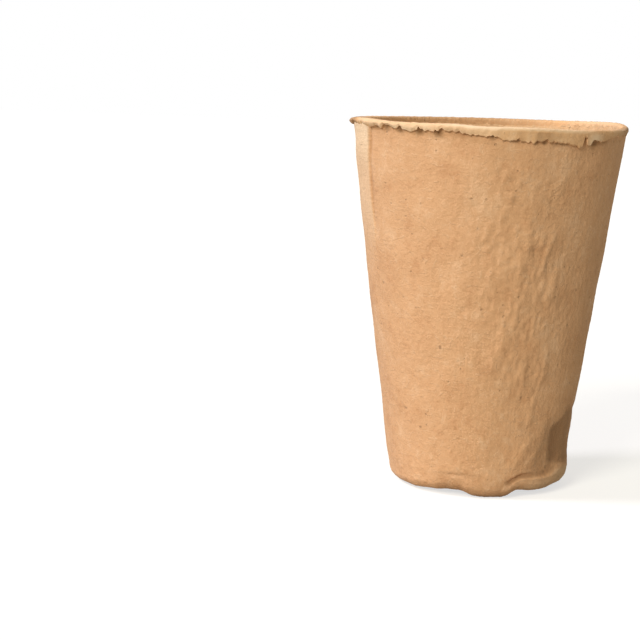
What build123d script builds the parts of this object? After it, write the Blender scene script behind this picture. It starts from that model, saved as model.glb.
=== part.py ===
from build123d import *
from math import atan, cos, radians, sin
import os

# Tapered round plant pot of moulded peat and paper pulp, open at the top.
# The real pot is one felted moulding. It is modelled as the zones of that moulding,
# each a closed solid that meets its neighbours face to face where the section changes.
# Origin: centre of the ground ring that the pot stands on. +Z is up, -Y is the front.
# Lengths are in millimetres, and angles in degrees from +X.

# Overall form
pot_height = 100.0
rim_diameter = 76.0
base_diameter = 48.6
wall_thickness = 1.8

# Lip: a cuff of pulp that caps the wall's top edge and turns down outside it
lip_overhang = 0.7
lip_depth = 2.2
lip_cap = 0.9
lip_edge_radius = 0.35

# Flash: the thin torn fringe that hangs under the lip, flush with the lip's foot
flash_depth = 1.3
flash_thickness = 0.5
tear_count = 34
tear_width = 3.4
tear_narrow_share = 0.5
tear_shallow_share = 0.3
tear_deep_share = 0.9
tear_lean_share = 0.35

# Heel: the rounded corner that the pot stands on, with dents pressed up into it
heel_height = 9.0
heel_width = 6.0
heel_radius = 3.2
heel_inner_radius = 2.0
foot_edge_radius = 0.5
dent_width = 8.0
dent_rise = 1.6
dent_angles = (-105.0, -60.0, 48.0, 150.0)
dent_rise_shares = (0.55, 1.0, 0.8, 0.65)

# Floor: the bottom panel inside the heel, held just off the ground
floor_thickness = 2.0
floor_lift = 0.8

# A round on an edge takes no more than this share of the narrow face beside it
edge_round_share = 0.4

# Step of an uneven sequence of shares, the golden ratio's fraction
uneven_step_share = 0.618034

# Every cutting tool runs this far past what it cuts
overrun = 1.0

# Sizes worked out from the ones above
base_radius = base_diameter / 2
rim_radius = rim_diameter / 2
wall_top_radius = rim_radius - lip_overhang
wall_slope = (wall_top_radius - base_radius) / pot_height
wall_run = wall_thickness / cos(atan(wall_slope))
wall_top = pot_height - lip_cap
lip_bottom = pot_height - lip_depth
flash_bottom = lip_bottom - flash_depth
floor_top = floor_lift + floor_thickness
floor_radius = base_radius - heel_width


def outer_radius(height):
    """Radius of the wall's outer face at a height above the ground."""
    return base_radius + wall_slope * height


def inner_radius(height):
    """Radius of the wall's inner face at a height above the ground."""
    return outer_radius(height) - wall_run


def corner_at(sketch, radius, height):
    """Corner of a section, in its own plane, that is nearest a radius and a height."""
    return sketch.vertices().sort_by_distance((radius, height, 0))[0]


def uneven_share(step, start_share=0.0):
    """A share from 0 to 1 that jumps about from step to step and never repeats."""
    return (start_share + step * uneven_step_share) % 1


# Side wall: the tapered tube between the heel and the lip
with BuildPart() as side_wall:
    with BuildSketch(Plane.XZ):
        with BuildLine():
            Polyline(
                (inner_radius(heel_height), heel_height),
                (outer_radius(heel_height), heel_height),
                (outer_radius(wall_top), wall_top),
                (inner_radius(wall_top), wall_top),
                close=True,
            )
        make_face()
    revolve(axis=Axis.Z)

# Rim lip: its section is an inverted hook over the top of the wall
lip_round = min(lip_edge_radius, edge_round_share * lip_cap, edge_round_share * lip_overhang)
skirt_radius = outer_radius(lip_bottom) + flash_thickness
with BuildPart() as rim_lip:
    with BuildSketch(Plane.XZ) as lip_section:
        with BuildLine():
            Polyline(
                (inner_radius(wall_top), wall_top),
                (outer_radius(wall_top), wall_top),
                (outer_radius(lip_bottom), lip_bottom),
                (skirt_radius, lip_bottom),
                (rim_radius, wall_top),
                (rim_radius, pot_height),
                (inner_radius(pot_height), pot_height),
                close=True,
            )
        make_face()
        exposed_corners = [
            corner_at(lip_section, rim_radius, pot_height),
            corner_at(lip_section, inner_radius(pot_height), pot_height),
        ]
        fillet(exposed_corners, radius=lip_round)
    revolve(axis=Axis.Z)

# Rim flash: a thin ring against the wall whose lower edge is torn into leaning teeth
with BuildPart() as rim_flash:
    with BuildSketch(Plane.XZ):
        with BuildLine():
            Polyline(
                (outer_radius(flash_bottom), flash_bottom),
                (outer_radius(lip_bottom), lip_bottom),
                (skirt_radius, lip_bottom),
                (outer_radius(flash_bottom) + flash_thickness, flash_bottom),
                close=True,
            )
        make_face()
    revolve(axis=Axis.Z)
    for tear in range(tear_count):
        depth_share = tear_shallow_share + (tear_deep_share - tear_shallow_share) * uneven_share(tear)
        width_share = tear_narrow_share + (1 - tear_narrow_share) * uneven_share(2 * tear)
        lean_share = tear_lean_share * (2 * uneven_share(3 * tear) - 1)
        half_width = tear_width * width_share / 2
        turn = radians(360 / tear_count) * (tear + lean_share)
        outward = Vector(cos(turn), sin(turn), 0)
        tear_plane = Plane(
            origin=outward * outer_radius(flash_bottom) + Vector(0, 0, flash_bottom),
            x_dir=Vector(-outward.Y, outward.X, 0),
            z_dir=outward,
        )
        with BuildSketch(tear_plane):
            with BuildLine():
                Polyline(
                    (-half_width, -overrun),
                    (half_width, -overrun),
                    (half_width, 0),
                    (half_width * lean_share, flash_depth * depth_share),
                    (-half_width, 0),
                    close=True,
                )
            make_face()
        extrude(amount=flash_thickness + overrun, both=True, mode=Mode.SUBTRACT)

# Each dent is a round trough that climbs outwards from the floor panel's edge.
# It is kept as the plane across its low end and its radius.
dents = []
for angle, rise_share in zip(dent_angles, dent_rise_shares):
    rise = dent_rise * rise_share
    dent_radius = ((dent_width / 2) ** 2 + rise**2) / (2 * rise)
    outward = Vector(cos(radians(angle)), sin(radians(angle)), 0)
    low_end = Plane(
        origin=outward * floor_radius - Vector(0, 0, dent_radius),
        x_dir=Vector(-outward.Y, outward.X, 0),
        z_dir=outward * heel_width + Vector(0, 0, rise),
    )
    dents.append((low_end, dent_radius))
dent_length = outer_radius(heel_height) - floor_radius + overrun

# Heel: a ring of L section, hollowed from below at each dent
with BuildPart() as heel:
    with BuildSketch(Plane.XZ) as heel_section:
        with BuildLine():
            Polyline(
                (floor_radius, 0),
                (base_radius, 0),
                (outer_radius(heel_height), heel_height),
                (inner_radius(heel_height), heel_height),
                (inner_radius(floor_top), floor_top),
                (floor_radius, floor_top),
                close=True,
            )
        make_face()
        fillet(corner_at(heel_section, base_radius, 0), radius=heel_radius)
        fillet(corner_at(heel_section, inner_radius(floor_top), floor_top), radius=heel_inner_radius)
        fillet(corner_at(heel_section, floor_radius, 0), radius=min(foot_edge_radius, floor_lift))
    revolve(axis=Axis.Z)
    for low_end, dent_radius in dents:
        with BuildSketch(low_end):
            Circle(dent_radius)
        extrude(amount=dent_length, both=True, mode=Mode.SUBTRACT)

# Floor panel: the flat disc that closes the heel
with BuildPart() as floor_panel:
    with BuildSketch(Plane.XY.offset(floor_lift)):
        Circle(floor_radius)
    extrude(amount=floor_thickness)

os.makedirs("parts", exist_ok=True)
zones = {
    "side_wall": side_wall,
    "rim_lip": rim_lip,
    "rim_flash": rim_flash,
    "heel": heel,
    "floor_panel": floor_panel,
}
for name, zone in zones.items():
    zone.part.label = name
    export_step(zone.part, f"parts/{name}.step")
    print(name, "volume", round(zone.part.volume, 1), "solids", len(zone.part.solids()))
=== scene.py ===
"""Look of a tapered plant pot moulded from peat and paper pulp, dressed over its solids.

Lengths here are millimetres unless a name says otherwise. Angles are degrees round the pot,
counted from its front towards its right side. Meshes go into the scene in metres. A span is
where a smooth step leaves 0 and where it reaches 1.
"""

import logging
from collections.abc import Mapping, Sequence
from dataclasses import dataclass
from enum import Enum

import bpy
import numpy as np
from mathutils import Matrix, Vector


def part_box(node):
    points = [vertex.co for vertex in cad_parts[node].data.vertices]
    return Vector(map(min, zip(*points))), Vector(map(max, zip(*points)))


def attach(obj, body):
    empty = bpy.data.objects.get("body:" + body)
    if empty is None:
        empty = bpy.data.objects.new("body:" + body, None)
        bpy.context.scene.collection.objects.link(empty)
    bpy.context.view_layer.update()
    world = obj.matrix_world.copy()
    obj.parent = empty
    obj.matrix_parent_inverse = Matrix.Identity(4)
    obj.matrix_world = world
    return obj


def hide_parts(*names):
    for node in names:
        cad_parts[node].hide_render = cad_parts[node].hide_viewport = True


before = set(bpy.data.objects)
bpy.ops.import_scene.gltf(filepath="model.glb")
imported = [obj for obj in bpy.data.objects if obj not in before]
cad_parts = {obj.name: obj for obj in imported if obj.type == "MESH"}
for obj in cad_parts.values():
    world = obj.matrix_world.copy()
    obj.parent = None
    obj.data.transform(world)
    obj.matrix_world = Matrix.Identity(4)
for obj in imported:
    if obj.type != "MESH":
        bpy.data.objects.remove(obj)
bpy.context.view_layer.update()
LOG = logging.getLogger("peat_pot")
Array = np.ndarray
Colour = tuple[float, float, float, float]
Span = tuple[float, float]
Knots = tuple[tuple[float, float], ...]
WHITE = (1.0, 1.0, 1.0, 1.0)
MM = 0.001
TURN = 2.0 * np.pi
BODY = "root"


def paint(red: int, green: int, blue: int) -> Colour:
    """Linear colour of a screen colour given in steps from 0 to 255.

    Args:
        red: Red step.
        green: Green step.
        blue: Blue step.

    Returns:
        Linear red, green, blue and an alpha of 1.
    """
    screen = np.array([red, green, blue]) / 255.0
    linear = np.where(screen <= 0.04045, screen / 12.92, ((screen + 0.055) / 1.055) ** 2.4)
    return (*map(float, linear), 1.0)


def ease(value: Array, start: float, end: float) -> Array:
    """Smooth step between two values, falling where the end is the lower of them.

    Args:
        value: Where the step is read.
        start: Value at which it leaves 0.
        end: Value at which it reaches 1.

    Returns:
        3t^2 - 2t^3, where t is the clipped share of the way from start to end.
    """
    share = np.clip((value - start) / (end - start), 0.0, 1.0)
    return share * share * (3.0 - 2.0 * share)


def gap(turn: Array, centre: float | Array) -> Array:
    """Signed degrees from a centre angle to each turn in radians, the short way round."""
    return (np.degrees(turn) - centre + 180.0) % 360.0 - 180.0


def bell(offset: Array, width: float) -> Array:
    """Bell curve: exp(-(offset / width)^2)."""
    return np.exp(-((offset / width) ** 2))


def hump(offset: Array, half_width: float) -> Array:
    """Rounded hill: a squared cosine that is 1 in the middle and 0 from half_width outwards."""
    return np.cos(np.clip(offset / half_width, -1.0, 1.0) * np.pi / 2.0) ** 2


def plateau(offset: Array, half_width: float, edge: float) -> Array:
    """Flat-topped hill: 1 in the middle, and 0 from half_width outwards over a smooth edge."""
    return ease(np.abs(offset), half_width, half_width - edge)


def hill(offset: Array, half_width: float, edge: float) -> Array:
    """Flat-topped hill with that edge, or a rounded one where the edge is 0."""
    return plateau(offset, half_width, edge) if edge else hump(offset, half_width)


def round_the_pot(turn: Array, knots: Knots) -> Array:
    """Closed smooth curve through values that are given at angles round the pot.

    Args:
        turn: Angles in radians at which the curve is read.
        knots: Pairs of angle and value, in rising order of angle.

    Returns:
        Cubic spans through the knots. The slope at a knot is the harmonic mean of the rates of
        climb on its two sides, and 0 where these differ in sign, so that nothing overshoots.
    """
    angles, values = np.array(knots).T
    angles = np.concatenate([angles[-2:] - 360.0, angles, angles[:2] + 360.0])
    values = np.concatenate([values[-2:], values, values[:2]])
    step, rate = np.diff(angles), np.diff(values) / np.diff(angles)
    product = np.maximum(rate[:-1] * rate[1:], 0.0)
    slope = np.zeros_like(values)
    slope[1:-1] = 2.0 * product / np.where(product > 0.0, rate[:-1] + rate[1:], 1.0)
    place = gap(turn, 0.0)
    before = np.clip(np.searchsorted(angles, place, side="right") - 1, 1, len(angles) - 3)
    share = (place - angles[before]) / step[before]
    start = values[before] + share * step[before] * slope[before]
    end = values[before + 1] - (1.0 - share) * step[before] * slope[before + 1]
    return start + ease(share, 0.0, 1.0) * (end - start)


@dataclass(frozen=True)
class Ripples:
    """Uneven field of about unit strength: the sum of cosine waves with random headings.

    Fields:
        seed: Seed of the random draws.
        across: Spacing of the crests round the pot.
        along: Spacing of the crests along the section.
        reach: Radius at which the spacing round the pot is true.
        waves: How many waves are added.
        lean: How far the crests drift to the left for each step down.
        paces: Slowest and fastest wave, as shares of the pace that the spacing gives.
    """

    seed: int
    across: float
    along: float
    reach: float = 32.0
    waves: int = 72
    lean: float = 0.0
    paces: tuple[float, float] = (0.55, 1.45)

    def draws(self) -> tuple[Array, Array, Array]:
        """Draws the waves.

        Returns:
            Radians per millimetre across and along, and the phase, of each wave.
        """
        draw = np.random.default_rng(self.seed)
        heading = draw.uniform(0.0, TURN, self.waves)
        pace = draw.uniform(*self.paces, self.waves) * TURN
        phase = draw.uniform(0.0, TURN, self.waves)
        across = pace * np.cos(heading) / self.across
        return across, pace * np.sin(heading) / self.along + self.lean * across, phase

    def on_wall(self, turn: Array, run: Array) -> Array:
        """The field over a skin, with each wave rounded to whole crests so that it closes.

        Args:
            turn: Angle of each column, in radians.
            run: Distance along the section of each row.

        Returns:
            Rows by columns: cos(a + b) = cos a cos b - sin a sin b, summed over the waves.
        """
        across, along, phase = self.draws()
        crests = np.outer(np.rint(across * self.reach), turn)
        down = np.outer(run, along) + phase
        total = np.cos(down) @ np.cos(crests) - np.sin(down) @ np.sin(crests)
        return total * np.sqrt(2.0 / self.waves)

    def on_plane(self, x: Array, y: Array) -> Array:
        """The field over a flat panel.

        Args:
            x: First coordinate of each point.
            y: Second coordinate of each point.

        Returns:
            The sum of plane waves at each point.
        """
        across, along, phase = self.draws()
        total = np.cos(x[..., None] * across + y[..., None] * along + phase).sum(-1)
        return total * np.sqrt(2.0 / self.waves)


@dataclass(frozen=True)
class PotSizes:
    """Main sizes of the pot, as its solids have them."""

    height: float
    wall_top: float
    wall_top_radius: float
    heel_height: float
    heel_top_radius: float
    floor_radius: float
    floor_under: float
    floor_top: float
    lip_bottom: float
    wall_thickness: float = 1.8

    @classmethod
    def from_frame(cls) -> "PotSizes":
        """Reads the sizes from the boxes of the solids.

        Returns:
            The sizes in millimetres.
        """
        box = {name: np.array(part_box(name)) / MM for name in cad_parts}
        return cls(
            height=box["rim_lip"][1, 2],
            wall_top=box["side_wall"][1, 2],
            wall_top_radius=box["side_wall"][1, 0],
            heel_height=box["heel"][1, 2],
            heel_top_radius=box["heel"][1, 0],
            floor_radius=box["floor_panel"][1, 0],
            floor_under=box["floor_panel"][0, 2],
            floor_top=box["floor_panel"][1, 2],
            lip_bottom=box["rim_lip"][0, 2],
        )

    @property
    def slope(self) -> float:
        """Gain of the wall's radius for each millimetre of height."""
        return (self.wall_top_radius - self.heel_top_radius) / (self.wall_top - self.heel_height)

    @property
    def wall_run(self) -> float:
        """Thickness of the sloping wall, measured level."""
        return self.wall_thickness * np.hypot(1.0, self.slope)

    def wall_radius(self, height: Array) -> Array:
        """Radius of the wall's outer face at a height."""
        return self.heel_top_radius + self.slope * (height - self.heel_height)


def rounded_line(corners: Sequence[tuple[float, float, float]], per_run: int = 400) -> Array:
    """Line of straight runs in a section, with an arc at each inner corner.

    Args:
        corners: Radius, height and corner radius of each point, the ends with no corner radius.
        per_run: Samples on each straight run and on each arc.

    Returns:
        Samples of radius and height. An arc touches both runs, and its points are turned from
        one touching radius to the other by the sine rule for equal angles.
    """
    places = np.array([corner[:2] for corner in corners])
    share = np.linspace(0.0, 1.0, per_run)[:, None]
    start = places[0]
    pieces = []
    for index in range(1, len(corners) - 1):
        back = places[index - 1] - places[index]
        ahead = places[index + 1] - places[index]
        back = back / np.linalg.norm(back)
        ahead = ahead / np.linalg.norm(ahead)
        half = np.arccos(np.clip(back @ ahead, -1.0, 1.0)) / 2.0
        bend = corners[index][2]
        first = places[index] + back * bend / np.tan(half)
        last = places[index] + ahead * bend / np.tan(half)
        middle = places[index] + (back + ahead) / np.linalg.norm(back + ahead) * bend / np.sin(half)
        sweep = np.pi - 2.0 * half
        arc = np.sin((1.0 - share) * sweep) * (first - middle) + np.sin(share * sweep) * (last - middle)
        pieces += [start + share[:-1] * (first - start), middle + arc[:-1] / np.sin(sweep)]
        start = last
    pieces.append(start + share * (places[-1] - start))
    return np.concatenate(pieces)


def spaced(line: Array, step: Array) -> Array:
    """Picks rows along a finely sampled line.

    Args:
        line: Samples of radius and height.
        step: Wanted distance between rows at each sample.

    Returns:
        Rows of radius, height and distance run, evenly spread in the sum of length over step.
    """
    lengths = np.hypot(*np.diff(line, axis=0).T)
    run = np.concatenate([[0.0], np.cumsum(lengths)])
    count = np.concatenate([[0.0], np.cumsum(lengths / step[1:])])
    rows = np.linspace(0.0, count[-1], int(np.ceil(count[-1])) + 1)
    return np.stack([np.interp(rows, count, values) for values in (*line.T, run)], axis=1)


def grid_normals(points: Array) -> Array:
    """Unit normals of a skin from the cross product of its two tangents.

    Args:
        points: Rows by columns by three, closed round the columns.

    Returns:
        Rows by columns by three.
    """
    down = np.gradient(points, axis=0)
    aside = np.roll(points, -1, axis=1) - np.roll(points, 1, axis=1)
    normals = np.cross(down, aside)
    return normals / np.maximum(np.linalg.norm(normals, axis=2, keepdims=True), 1e-12)


def placed(turn: Array, radius: Array, height: Array) -> Array:
    """Points in space from angle, radius and height: x = r sin a, y = -r cos a."""
    turn, radius, height = np.broadcast_arrays(turn, radius, height)
    return np.stack([radius * np.sin(turn), -radius * np.cos(turn), height], axis=-1)


@dataclass(frozen=True)
class Skin:
    """One face of the moulding as a grid: rows go along the section, columns round the pot."""

    points: Array
    normals: Array
    section: Array
    # Painted shade and painted light of each place, from -1 to 1.
    painted_shading: Array


@dataclass(frozen=True)
class Sway:
    """How far the pot is out of round: waves, a pinch under the lip and a tuck low on the left."""

    waves: tuple[tuple[int, float, float], ...] = (
        (2, 0.10, 90.0), (3, 0.20, 90.0), (4, 0.30, 22.5), (5, 0.22, 0.0),
    )
    growth: float = 1.3
    left_side: float = -85.0
    pinch_all_round: float = 0.1
    pinch_on_left: float = 0.24
    pinch_half_width: float = 65.0
    pinch_height: float = 95.0
    pinch_reach: float = 3.6
    tuck_depth: float = 0.6
    tuck_half_width: float = 55.0
    tuck_span: Span = (55.0, 18.0)

    def shift(self, turn: Array, height: Array, mouth: float) -> Array:
        """Radial shift that both skins share.

        Args:
            turn: Angles in radians.
            height: Heights.
            mouth: Height of the mouth.

        Returns:
            Out-of-round waves that grow with height, less the pinch and the tuck.
        """
        waves = np.zeros_like(turn)
        for crests, size, angle in self.waves:
            waves = waves + size * np.cos(crests * np.radians(gap(turn, angle)))
        grown = waves * np.clip(height / mouth, 0.0, None) ** self.growth
        aside = gap(turn, self.left_side)
        pinch = self.pinch_all_round + self.pinch_on_left * hump(aside, self.pinch_half_width)
        tuck = self.tuck_depth * hump(aside, self.tuck_half_width) * ease(height, *self.tuck_span)
        return grown - pinch * bell(height - self.pinch_height, self.pinch_reach) - tuck


@dataclass(frozen=True)
class FlatSide:
    """Knocked flat low on the right side, with painted shade on it."""

    depth: float = 0.4
    # Strength of the painted shade on the flat.
    painted_mark: float = 0.45
    border_angle: float = 51.5
    border_bow: float = 2.5
    bow_height: float = 16.0
    bow_half_height: float = 7.0
    border_lean: float = 11.0
    lean_span: Span = (18.6, 22.2)
    wall_radius: float = 26.5
    border_span: Span = (-1.2, 1.7)
    way_out_span: Span = (21.0, 9.0)
    foot: float = 9.9
    foot_fall: float = 0.09
    foot_fall_angle: float = 51.0
    foot_fall_reach: float = 30.0
    foot_span: Span = (-1.5, 0.3)
    top_span: Span = (25.0, 21.5)

    def share(self, turn: Array, height: Array) -> Array:
        """How far a place is on the flat, from 0 to 1.

        Args:
            turn: Angles in radians.
            height: Heights.

        Returns:
            A sharp left border that leans to the right as it climbs, then a slow way back out.
        """
        bow = self.border_bow * hump(height - self.bow_height, self.bow_half_height)
        border = self.border_angle - bow + self.border_lean * ease(height, *self.lean_span)
        offset = np.radians(gap(turn, border)) * self.wall_radius
        fall = np.clip(gap(turn, self.foot_fall_angle), 0.0, self.foot_fall_reach)
        low = self.foot - self.foot_fall * fall
        upright = ease(height - low, *self.foot_span) * ease(height, *self.top_span)
        return ease(offset, *self.border_span) * ease(offset, *self.way_out_span) * upright


@dataclass(frozen=True)
class Lap:
    """Lapped strip down the upper left: raised, with painted light on it, and with a groove
    along its right edge that holds painted shade.
    """

    height: float = 0.8
    # Strength of the painted light on the raised strip.
    pale: float = 0.85
    angle: float = -57.3
    lean: float = 0.225
    bend: float = 12.5
    wall_radius: float = 36.0
    edge_span: Span = (0.35, -0.35)
    left_span: Span = (-18.0, -7.0)
    low_span: Span = (60.0, 78.0)
    high_span: Span = (84.0, 97.0)
    groove_depth: float = 0.16
    # Strength of the painted shade in the groove.
    groove_shade: float = 0.18
    groove_place: float = 0.45
    groove_width: float = 0.65
    groove_span: Span = (68.0, 82.0)

    def shape(self, turn: Array, height: Array, rim: float) -> tuple[Array, Array]:
        """Works out the strip.

        Args:
            turn: Angles in radians.
            height: Heights.
            rim: Height of the rim's top.

        Returns:
            The radial shift, which fades to the left and downwards and is highest where the strip
            runs into the lip, and the painted shade of each place, below 0 where painted light lies.
        """
        centre = self.angle + self.lean * np.maximum(height - rim, -self.bend)
        offset = np.radians(gap(turn, centre)) * self.wall_radius
        high = ease(offset, *self.edge_span) * ease(offset, *self.left_span)
        groove = bell(offset - self.groove_place, self.groove_width) * ease(height, *self.groove_span)
        step = self.height * (0.5 * ease(height, *self.low_span) + 0.5 * ease(height, *self.high_span))
        shift = step * high - self.groove_depth * groove
        return shift, self.groove_shade * groove - self.pale * np.maximum(shift, 0.0) / self.height


@dataclass(frozen=True)
class Toe:
    """Roll of the heel between two dents: a bulge with a soft top and a crease along it.

    Painted shade lies along the crease and a little to its right.

    Fields:
        angle: Middle of the roll.
        half_width: Degrees from the middle to each end.
        bulge: How far it stands out.
        top: Height of its upper border.
        soft: Height over which the bulge fades above the border.
        crease: Depth of the crease where it is deepest.
        deepest: Angle of that place.
        climb: How much higher and softer the border gets towards the right.
        climb_span: Degrees from the middle between which it climbs.
        fall: How much lower the border gets at the left end.
        fall_span: Shares of the half width between which it falls.
        end_fade: Degrees over which each end fades.
        roll: Height over which the bulge fades below the border.
        faint: Share of the crease that is left away from its deepest place.
        crease_half: Degrees from the deepest place to where the crease is faint.
        crease_lift: Height of the crease above the border.
        crease_width: Distance over which the crease fades.
        shade_aside: Degrees from the deepest place to the middle of the crease's painted shade.
        shade_half: Degrees from there to where the painted shade is faint.
        shade_edge: Degrees over which it gets faint.
        shade_width: Distance over which the painted shade fades.
    """

    angle: float
    half_width: float
    bulge: float
    top: float
    soft: float
    crease: float
    deepest: float
    climb: float = 0.0
    climb_span: Span = (-16.0, 4.0)
    fall: float = 1.9
    fall_span: Span = (-0.68, -0.94)
    end_fade: float = 7.0
    roll: float = 1.5
    faint: float = 0.12
    crease_half: float = 17.0
    crease_lift: float = 0.15
    crease_width: float = 0.65
    shade_aside: float = 8.0
    shade_half: float = 28.0
    shade_edge: float = 14.0
    shade_width: float = 0.85

    def shape(self, turn: Array, height: Array) -> tuple[Array, Array]:
        """Works out the roll.

        Args:
            turn: Angles in radians.
            height: Heights.

        Returns:
            The radial shift, and how much painted shade the crease lays on each place, from 0 to 1.
        """
        offset = gap(turn, self.angle)
        climb = self.climb * ease(offset, *self.climb_span)
        top = self.top + climb - self.fall * ease(offset / self.half_width, *self.fall_span)
        reach = plateau(offset, self.half_width, self.end_fade)
        rolled = (top + self.soft + climb - height) / (self.roll + self.soft + 2.0 * climb)
        crease = reach * self.fainter(hump(gap(turn, self.deepest), self.crease_half))
        crease = crease * bell(height - top - self.crease_lift, self.crease_width)
        # Painted shade along the crease, a little to its right, where shade falls.
        aside = gap(turn, self.deepest + self.shade_aside)
        painted_mark = reach * self.fainter(plateau(aside, self.shade_half, self.shade_edge))
        painted_mark = painted_mark * bell(height - top, self.shade_width)
        shift = reach * self.bulge * ease(rolled, 0.0, 1.0) - self.crease * crease
        return shift, min(self.crease, 1.0) * painted_mark

    def fainter(self, share: Array) -> Array:
        """Strength of the crease, from faint where the share is 0 to full where it is 1."""
        return self.faint + (1.0 - self.faint) * share


@dataclass(frozen=True)
class Wrinkle:
    """Long ridge on the wall that wanders from an upper place to a lower one.

    Fields:
        top: Angle and height of its upper end.
        low: Angle and height of its lower end.
        width: Distance over which its two sides fall away.
        rise: Height of its crest.
        wander: How far each of its two bends strays to a side.
        bends: Heights over which the two bends turn by one radian.
        taper: Share of its length over which each end fades in.
    """

    top: tuple[float, float]
    low: tuple[float, float]
    width: float
    rise: float
    wander: float = 0.35
    bends: tuple[float, float] = (4.3, 2.6)
    taper: float = 0.3

    def swell(self, turn: Array, height: Array, radius: Array) -> Array:
        """Shape of the ridge.

        Args:
            turn: Angles in radians.
            height: Heights.
            radius: Radius of the wall at each height.

        Returns:
            A rounded roof, exp(1 - sqrt(1 + (offset / width)^2)), that fades in at both ends.
        """
        share = (height - self.low[1]) / (self.top[1] - self.low[1])
        centre = self.low[0] + share * (self.top[0] - self.low[0])
        stray = np.sin(height / self.bends[0]) + np.sin(height / self.bends[1] + self.low[0])
        offset = np.radians(gap(turn, centre)) * radius + self.wander * stray
        roof = np.exp(1.0 - np.hypot(1.0, offset / self.width))
        return self.rise * roof * ease(share, 0.0, self.taper) * ease(share, 1.0, 1.0 - self.taper)


@dataclass(frozen=True)
class PaintedSpot:
    """Soft spot of painted shade on the wall, or of painted light where its strength is below 0.

    Fields:
        angle: Middle of the spot.
        half_width: Degrees from the middle to each side.
        level: Place of its middle up or down the wall.
        half_height: Distance from the middle to its upper and lower border.
        strength: How much painted shade its middle has, from -1 for painted light to 1.
        side_edge: Degrees over which its sides fade, or 0 where it is rounded.
        edge: Distance over which its other borders fade, or 0 where it is rounded.
    """

    angle: float
    half_width: float
    level: float
    half_height: float
    strength: float
    side_edge: float = 0.0
    edge: float = 0.0

    def shade(self, turn: Array, level: Array) -> Array:
        """Painted shade of each place, below 0 painted light: a hill across times a hill up and down."""
        across = hill(gap(turn, self.angle), self.half_width, self.side_edge)
        return self.strength * across * hill(level - self.level, self.half_height, self.edge)


@dataclass(frozen=True)
class Folds:
    """Small unevenness of the outside: lumps, leaning folds, broken creases and grain."""

    lumps: Ripples = Ripples(11, 11.0, 15.0)
    patches: Ripples = Ripples(12, 16.0, 20.0)
    narrow_folds: Ripples = Ripples(23, 2.2, 5.0, lean=0.08)
    wide_folds: Ripples = Ripples(24, 3.6, 8.5, lean=0.1)
    pleats: Ripples = Ripples(14, 2.0, 3.4, lean=0.08)
    grain: Ripples = Ripples(15, 1.9, 1.9)
    valleys: Ripples = Ripples(17, 4.2, 11.0, lean=0.08)
    breaks: Ripples = Ripples(18, 4.0, 5.0)
    lump_rise: float = 0.05
    fold_share: float = 0.7
    fold_rise: float = 0.085
    fold_floor: float = -0.6
    pleat_rise: float = 0.05
    grain_rise: float = 0.02
    crease_depth: float = 0.08
    crease_width: float = 0.3
    break_span: Span = (0.3, 1.2)
    patch_span: Span = (-2.8, 0.3)
    plain_share: float = 0.15
    left_border: float = -22.0
    low_border_aside: float = 16.0
    low_border_span: Span = (48.0, 12.0)
    left_span: Span = (0.0, 38.0)
    right_span: Span = (54.0, 26.0)
    back_angle: float = 190.0
    back_half_width: float = 75.0
    back_edge: float = 60.0
    back_share: float = 0.6
    low_share: float = 0.45
    low_span: Span = (18.0, 44.0)
    foot_span: Span = (3.0, 12.0)
    lip_span: Span = (98.0, 80.0)

    def strength(self, turn: Array, height: Array) -> Array:
        """How folded the outside is, from 0 to 1.

        Args:
            turn: Angles in radians.
            height: Heights.

        Returns:
            Most on the front right and on the back, and a plain share everywhere.
        """
        border = self.low_border_aside * ease(height, *self.low_border_span) + self.left_border
        front = ease(gap(turn, border), *self.left_span) * ease(gap(turn, 0.0), *self.right_span)
        back = plateau(gap(turn, self.back_angle), self.back_half_width, self.back_edge)
        high = self.low_share + (1.0 - self.low_share) * ease(height, *self.low_span)
        high = high * ease(height, *self.foot_span) * ease(height, *self.lip_span)
        return self.plain_share + (1.0 - self.plain_share) * np.maximum(front, self.back_share * back) * high

    def lumpy(self, turn: Array, run: Array) -> Array:
        """Shift of the wide lumps, which both skins share."""
        return self.lump_rise * self.lumps.on_wall(turn, run)

    def relief(self, turn: Array, height: Array, run: Array) -> tuple[Array, Array]:
        """Unevenness of the outside along its own normal.

        Args:
            turn: Angle of each column, in radians.
            height: Height of each row.
            run: Distance of each row down the section.

        Returns:
            The shift, and how deep in a crease each place is from 0 to 1.
        """
        strength = self.strength(turn, height) * ease(self.patches.on_wall(turn, run), *self.patch_span)
        unbroken = ease(self.breaks.on_wall(turn, run), *self.break_span)
        crease = bell(self.valleys.on_wall(turn, run), self.crease_width) * unbroken * strength
        folds = self.narrow_folds.on_wall(turn, run) + self.wide_folds.on_wall(turn, run)
        rounded = self.fold_rise * np.maximum(self.fold_share * folds, self.fold_floor)
        rounded = rounded + self.pleat_rise * self.pleats.on_wall(turn, run)
        fine = self.grain_rise * self.grain.on_wall(turn, run)
        return self.lumpy(turn, run) + strength * rounded - self.crease_depth * crease + fine, crease


@dataclass(frozen=True)
class InnerFelt:
    """Clumped felt of the inside."""

    clumps: Ripples = Ripples(20, 3.6, 4.6)
    matting: Ripples = Ripples(21, 2.2, 2.6)
    clump_rise: float = 0.11
    clump_floor: float = -0.8
    matting_rise: float = 0.05
    mouth_share: float = 0.2
    mouth_span: Span = (3.0, 14.0)

    def shift(self, turn: Array, run: Array) -> Array:
        """Shift towards the pot's axis.

        Args:
            turn: Angle of each column, in radians.
            run: Distance of each row down the section.

        Returns:
            Rows by columns: soft clumps and a finer matting, both smoother at the mouth.
        """
        clumps = np.maximum(self.clumps.on_wall(turn, run), self.clump_floor)
        rough = self.mouth_share + (1.0 - self.mouth_share) * ease(run, *self.mouth_span)[:, None]
        return rough * (self.clump_rise * clumps + self.matting_rise * self.matting.on_wall(turn, run))


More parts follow.
